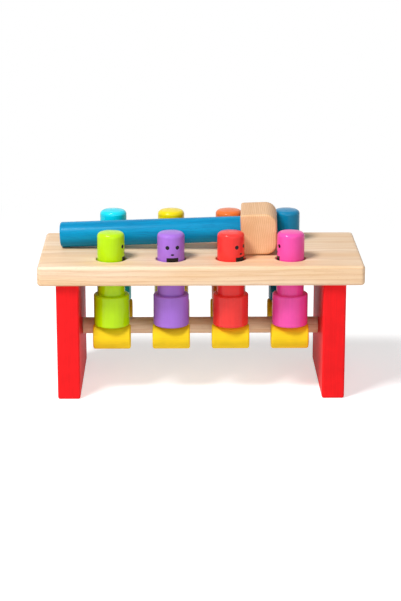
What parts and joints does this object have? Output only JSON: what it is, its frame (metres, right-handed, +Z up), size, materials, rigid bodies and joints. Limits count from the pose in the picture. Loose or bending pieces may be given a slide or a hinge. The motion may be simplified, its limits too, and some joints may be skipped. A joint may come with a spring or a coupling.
{
  "type": "peg pounding bench",
  "caption": "Wooden pounding bench toy with painted captive pegs over see-saw rockers, so striking one peg lifts its partner, and a mallet lying on the board.",
  "frame": {"origin": "on the floor under the middle of the board", "axes": "+X along the bench to the right, +Y to the back, +Z up"},
  "size_m": [0.308, 0.138, 0.1726],
  "materials": {
    "natural_wood": "pale hardwood, sanded, clear satin",
    "red_leg_paint": "wood, smooth red satin paint",
    "yellow_pad_paint": "wood, yellow satin paint",
    "blue_handle_stain": "wood, blue stain with the grain showing",
    "steel_rod": "plain drawn steel",
    "green_peg_paint": "wood, glossy green paint with a printed dot face",
    "purple_peg_paint": "wood, glossy purple paint with a printed dot face",
    "red_peg_paint": "wood, glossy red paint with a printed dot face",
    "pink_peg_paint": "wood, glossy pink paint with a printed dot face",
    "teal_peg_paint": "wood, glossy teal paint with a printed dot face",
    "yellow_peg_paint": "wood, glossy yellow paint with a printed dot face",
    "orange_peg_paint": "wood, glossy orange paint with a printed dot face",
    "blue_peg_paint": "wood, glossy blue paint with a printed dot face"
  },
  "bodies": {
    "bench": {"top_board": "natural_wood", "left_leg": "red_leg_paint", "right_leg": "red_leg_paint", "left_leg_dowels": "natural_wood", "right_leg_dowels": "natural_wood", "pivot_rod": "steel_rod", "spacer_1": "natural_wood", "spacer_2": "natural_wood", "spacer_3": "natural_wood", "spacer_4": "natural_wood", "spacer_5": "natural_wood"},
    "rocker_1": {"rocker_arm_1": "natural_wood", "front_pad_1": "yellow_pad_paint", "back_pad_1": "yellow_pad_paint"},
    "rocker_2": {"rocker_arm_2": "natural_wood", "front_pad_2": "yellow_pad_paint", "back_pad_2": "yellow_pad_paint"},
    "rocker_3": {"rocker_arm_3": "natural_wood", "front_pad_3": "yellow_pad_paint", "back_pad_3": "yellow_pad_paint"},
    "rocker_4": {"rocker_arm_4": "natural_wood", "front_pad_4": "yellow_pad_paint", "back_pad_4": "yellow_pad_paint"},
    "front_peg_1": {"front_peg_1": "green_peg_paint"},
    "back_peg_1": {"back_peg_1": "teal_peg_paint"},
    "front_peg_2": {"front_peg_2": "purple_peg_paint"},
    "back_peg_2": {"back_peg_2": "yellow_peg_paint"},
    "front_peg_3": {"front_peg_3": "red_peg_paint"},
    "back_peg_3": {"back_peg_3": "orange_peg_paint"},
    "front_peg_4": {"front_peg_4": "pink_peg_paint"},
    "back_peg_4": {"back_peg_4": "blue_peg_paint"},
    "mallet": {"mallet_handle": "blue_handle_stain", "mallet_head": "natural_wood"}
  },
  "joints": [
    {"name": "rocker_1_pivot", "type": "hinge", "parent": "bench", "child": "rocker_1", "pos_m": [-0.0855, 0, 0.055], "axis": [1, 0, 0], "range_deg": [-23.5, 16.5]},
    {"name": "rocker_2_pivot", "type": "hinge", "parent": "bench", "child": "rocker_2", "pos_m": [-0.0285, 0, 0.055], "axis": [1, 0, 0], "range_deg": [-23.5, 16.5]},
    {"name": "rocker_3_pivot", "type": "hinge", "parent": "bench", "child": "rocker_3", "pos_m": [0.0285, 0, 0.055], "axis": [1, 0, 0], "range_deg": [-23.5, 16.5]},
    {"name": "rocker_4_pivot", "type": "hinge", "parent": "bench", "child": "rocker_4", "pos_m": [0.0855, 0, 0.055], "axis": [1, 0, 0], "range_deg": [-23.5, 16.5]},
    {"name": "front_peg_1_slide", "type": "slide", "parent": "bench", "child": "front_peg_1", "axis": [0, 0, 1], "range_m": [-0.0105, 0.015]},
    {"name": "back_peg_1_slide", "type": "slide", "parent": "bench", "child": "back_peg_1", "axis": [0, 0, 1], "range_m": [-0.015, 0.0105]},
    {"name": "front_peg_2_slide", "type": "slide", "parent": "bench", "child": "front_peg_2", "axis": [0, 0, 1], "range_m": [-0.0105, 0.015]},
    {"name": "back_peg_2_slide", "type": "slide", "parent": "bench", "child": "back_peg_2", "axis": [0, 0, 1], "range_m": [-0.015, 0.0105]},
    {"name": "front_peg_3_slide", "type": "slide", "parent": "bench", "child": "front_peg_3", "axis": [0, 0, 1], "range_m": [-0.0105, 0.015]},
    {"name": "back_peg_3_slide", "type": "slide", "parent": "bench", "child": "back_peg_3", "axis": [0, 0, 1], "range_m": [-0.015, 0.0105]},
    {"name": "front_peg_4_slide", "type": "slide", "parent": "bench", "child": "front_peg_4", "axis": [0, 0, 1], "range_m": [-0.0105, 0.015]},
    {"name": "back_peg_4_slide", "type": "slide", "parent": "bench", "child": "back_peg_4", "axis": [0, 0, 1], "range_m": [-0.015, 0.0105]},
    {"name": "mallet_lift", "type": "slide", "parent": "bench", "child": "mallet", "axis": [0, 0, 1], "range_m": [0, 0.12]}
  ],
  "couplings": [
    {"joint": "front_peg_1_slide", "follows": "rocker_1_pivot", "m_per_rad": -0.0364},
    {"joint": "back_peg_1_slide", "follows": "rocker_1_pivot", "m_per_rad": 0.0364},
    {"joint": "front_peg_2_slide", "follows": "rocker_2_pivot", "m_per_rad": -0.0364},
    {"joint": "back_peg_2_slide", "follows": "rocker_2_pivot", "m_per_rad": 0.0364},
    {"joint": "front_peg_3_slide", "follows": "rocker_3_pivot", "m_per_rad": -0.0364},
    {"joint": "back_peg_3_slide", "follows": "rocker_3_pivot", "m_per_rad": 0.0364},
    {"joint": "front_peg_4_slide", "follows": "rocker_4_pivot", "m_per_rad": -0.0364},
    {"joint": "back_peg_4_slide", "follows": "rocker_4_pivot", "m_per_rad": 0.0364}
  ]
}
